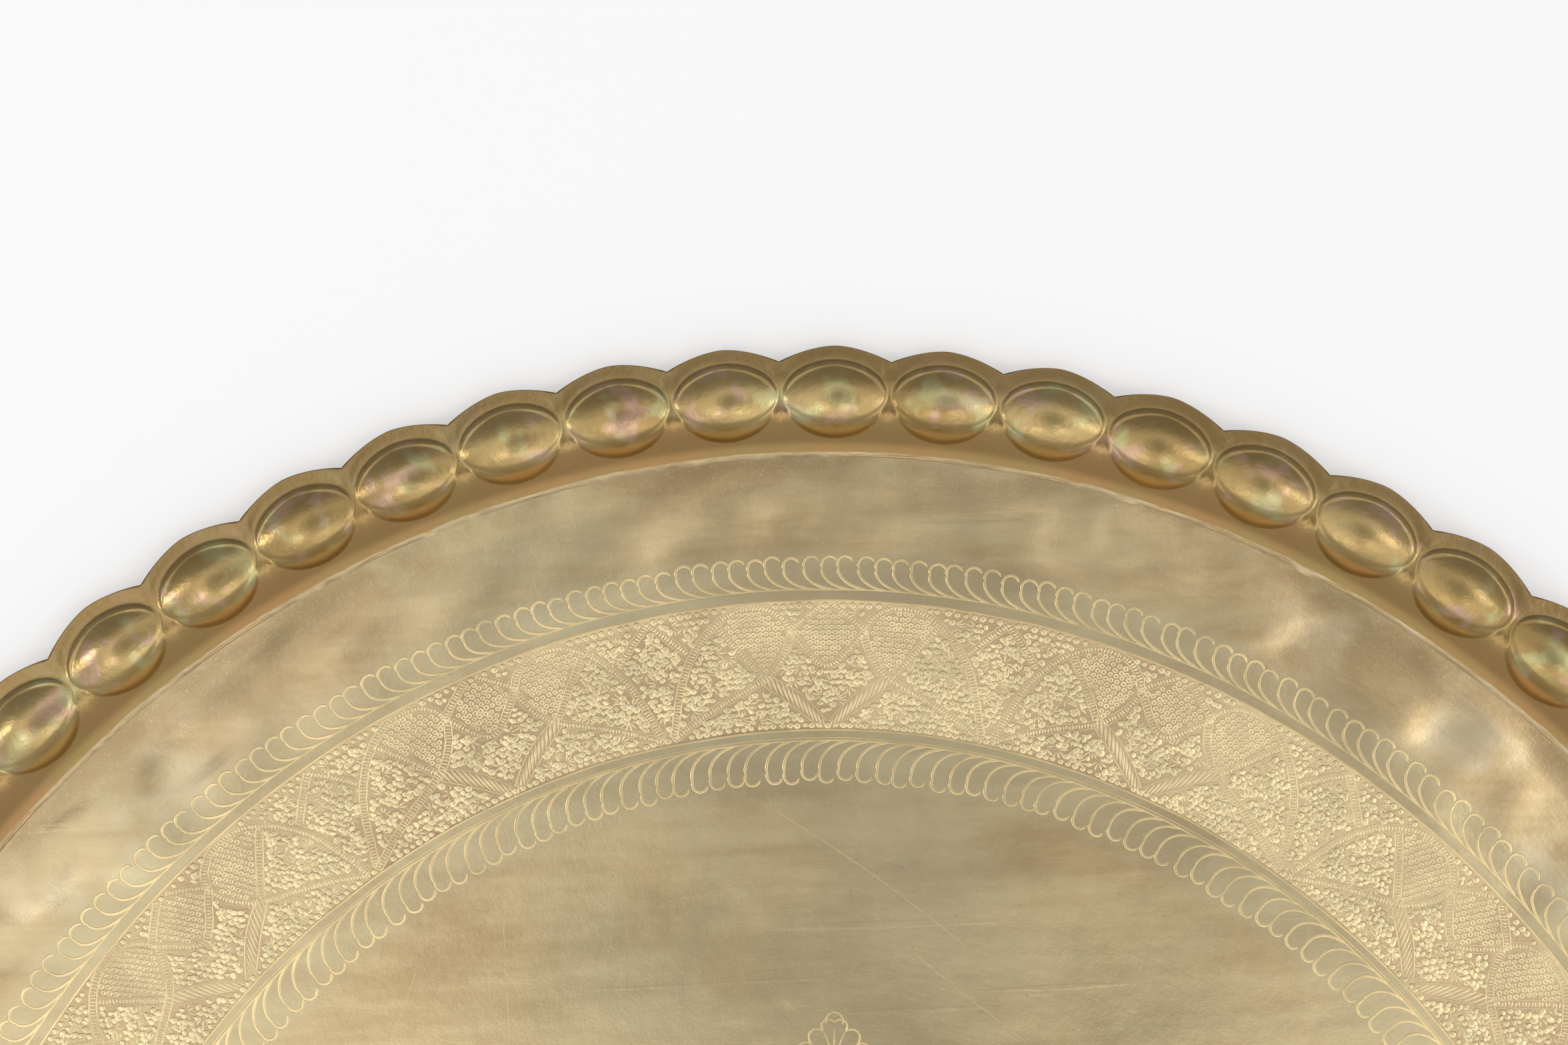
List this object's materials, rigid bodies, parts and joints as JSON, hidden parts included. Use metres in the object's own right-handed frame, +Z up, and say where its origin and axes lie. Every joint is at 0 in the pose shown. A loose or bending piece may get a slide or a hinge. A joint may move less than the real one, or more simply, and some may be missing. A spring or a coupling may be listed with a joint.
{
  "type": "tray",
  "caption": "Large round shallow tray with a flat engraved plate and a raised rim of egg-shaped bosses with a scalloped edge.",
  "frame": {"origin": "middle of the flat underside, where the tray rests", "axes": "+Z up along the tray's axis; +X through the middle of one boss"},
  "size_m": [0.7, 0.6992, 0.015],
  "materials": {
    "plate_brass": "old polished brass, chased and engraved, lightly scratched and stained",
    "rim_brass": "burnished brass, golden brown, with darker tarnish in its hollows",
    "solder": "dull pale soft solder, hand wiped"
  },
  "bodies": {
    "root": {"engraved_plate": "plate_brass", "bossed_rim": "rim_brass", "solder_seam": "solder"}
  },
  "joints": []
}
